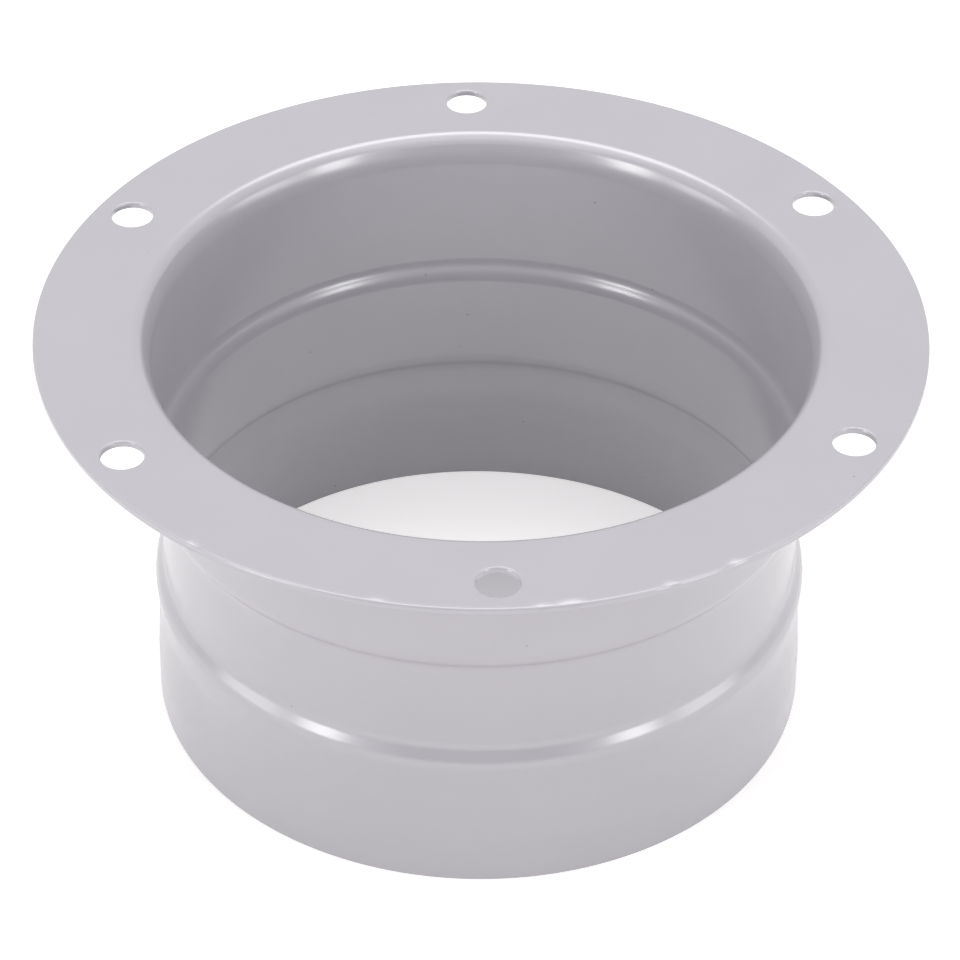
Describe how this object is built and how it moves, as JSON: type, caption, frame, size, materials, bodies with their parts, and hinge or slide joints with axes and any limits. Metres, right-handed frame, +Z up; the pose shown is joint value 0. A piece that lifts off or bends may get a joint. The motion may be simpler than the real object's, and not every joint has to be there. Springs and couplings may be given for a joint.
{
  "type": "duct connector flange",
  "caption": "Round sheet-metal duct connector: a flat screw flange on a stepped and beaded collar that a duct or hose slides over.",
  "frame": {"origin": "on the collar's axis, at the rim of the spigot that the part stands on", "axes": "+Z up along the collar's axis, through the flange at the top; the first screw hole lies 30 degrees from +X"},
  "size_m": [0.135, 0.135, 0.0667],
  "materials": {
    "grey_paint": "satin"
  },
  "bodies": {
    "root": {"flanged_collar": "grey_paint"}
  },
  "joints": []
}
